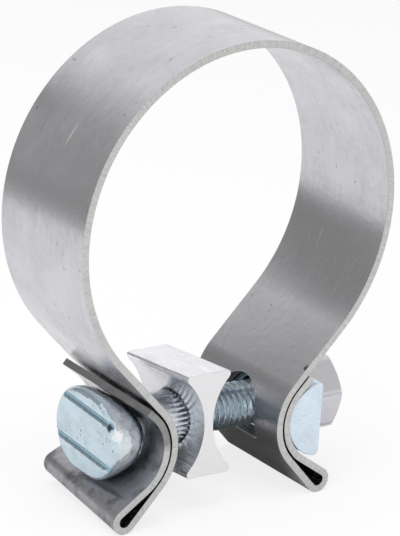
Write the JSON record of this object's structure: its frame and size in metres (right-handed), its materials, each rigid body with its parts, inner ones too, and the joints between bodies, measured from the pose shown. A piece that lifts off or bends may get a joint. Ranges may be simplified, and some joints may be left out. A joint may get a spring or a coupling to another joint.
{
  "type": "exhaust band clamp",
  "caption": "Open band clamp for joining exhaust pipes: a wide steel strip ring with folded ears, drawn together by a bolt with a half-round head, spacer, saddle washer and nut.",
  "frame": {"origin": "centre of the ring's pipe seat, half way along the band's width", "axes": "+X along the bolt from its head to its nut, +Y along the pipe, +Z from the ears up through the top of the ring"},
  "size_m": [0.0802, 0.0316, 0.1051],
  "materials": {
    "stainless_strip": "brushed, mottled",
    "zinc_plated_bolt": "bright zinc with a pale blue cast",
    "extruded_aluminium": "as extruded, sawn ends",
    "zinc_plated_washer": "bright zinc with fine scratches",
    "plain_plated_nut": "smooth satin zinc"
  },
  "bodies": {
    "clamp": {"band": "stainless_strip", "bolt": "zinc_plated_bolt", "spacer_block": "extruded_aluminium"},
    "washer": {"saddle_washer": "zinc_plated_washer"},
    "nut": {"nut": "plain_plated_nut"}
  },
  "joints": [
    {"name": "washer_slide", "type": "slide", "parent": "clamp", "child": "washer", "axis": [1, 0, 0], "range_m": [0, 0.0075]},
    {"name": "nut_turn", "type": "hinge", "parent": "washer", "child": "nut", "pos_m": [0.02515, 0, -0.04745], "axis": [1, 0, 0], "range_deg": [0, 1800]}
  ],
  "couplings": [
    {"joint": "nut_turn", "follows": "washer_slide", "rad_per_m": 4188.8}
  ]
}
